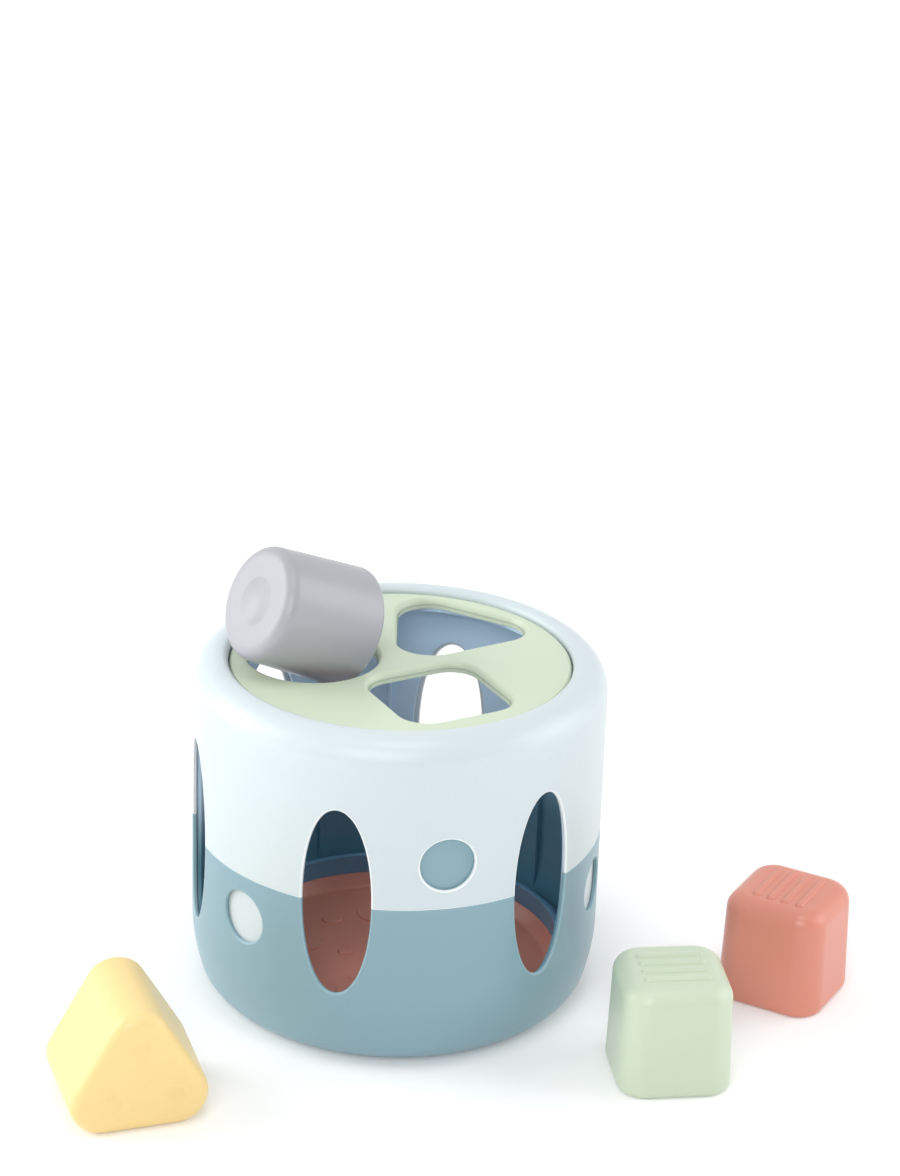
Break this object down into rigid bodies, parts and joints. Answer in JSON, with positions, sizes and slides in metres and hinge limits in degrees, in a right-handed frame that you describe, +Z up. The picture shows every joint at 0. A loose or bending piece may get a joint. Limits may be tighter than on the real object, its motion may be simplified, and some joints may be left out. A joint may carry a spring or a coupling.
{
  "type": "shape sorter",
  "caption": "Round toddler shape sorter with a two-tone shell, oval windows, a lift-off lid with round, triangular and square holes, and hollow blocks that match them.",
  "frame": {"origin": "centre of the sorter's flat underside, on the surface it stands on", "axes": "+Z up along the sorter's axis; -Y is the front, where the triangular block's dimpled end faces; +X towards the two square blocks"},
  "size_m": [0.3019, 0.2062, 0.1783],
  "materials": {
    "white": "satin moulded plastic, cool white",
    "blue": "satin moulded plastic, grey blue",
    "liner_blue": "satin moulded plastic, grey blue liner",
    "green": "satin moulded plastic, sage green",
    "terracotta": "satin moulded plastic, terracotta",
    "lilac_grey": "satin moulded plastic, lilac grey",
    "yellow": "satin moulded plastic, butter yellow"
  },
  "bodies": {
    "root": {"upper_shell": "white", "lower_shell": "blue", "inner_sleeve": "liner_blue", "white_dot_1": "white", "white_dot_2": "white", "white_dot_3": "white", "floor_ring": "liner_blue", "floor_plate": "terracotta"},
    "lid": {"lid": "green"},
    "round_block": {"round_block": "lilac_grey", "round_block_cap": "lilac_grey"},
    "triangle_block": {"triangle_block": "yellow", "triangle_block_cap": "yellow"},
    "green_block": {"green_block": "green", "green_block_cap": "green"},
    "red_block": {"red_block": "terracotta", "red_block_cap": "terracotta"}
  },
  "joints": [
    {"name": "lid_lift", "type": "slide", "parent": "root", "child": "lid", "axis": [0, 0, 1], "range_m": [0, 0.1]},
    {"name": "round_block_lift", "type": "slide", "parent": "lid", "child": "round_block", "axis": [0, 0, 1], "range_m": [0, 0.08]},
    {"name": "triangle_block_lift", "type": "slide", "parent": "root", "child": "triangle_block", "axis": [0, 0, 1], "range_m": [0, 0.15]},
    {"name": "green_block_lift", "type": "slide", "parent": "root", "child": "green_block", "axis": [0, 0, 1], "range_m": [0, 0.15]},
    {"name": "red_block_lift", "type": "slide", "parent": "root", "child": "red_block", "axis": [0, 0, 1], "range_m": [0, 0.15]}
  ]
}
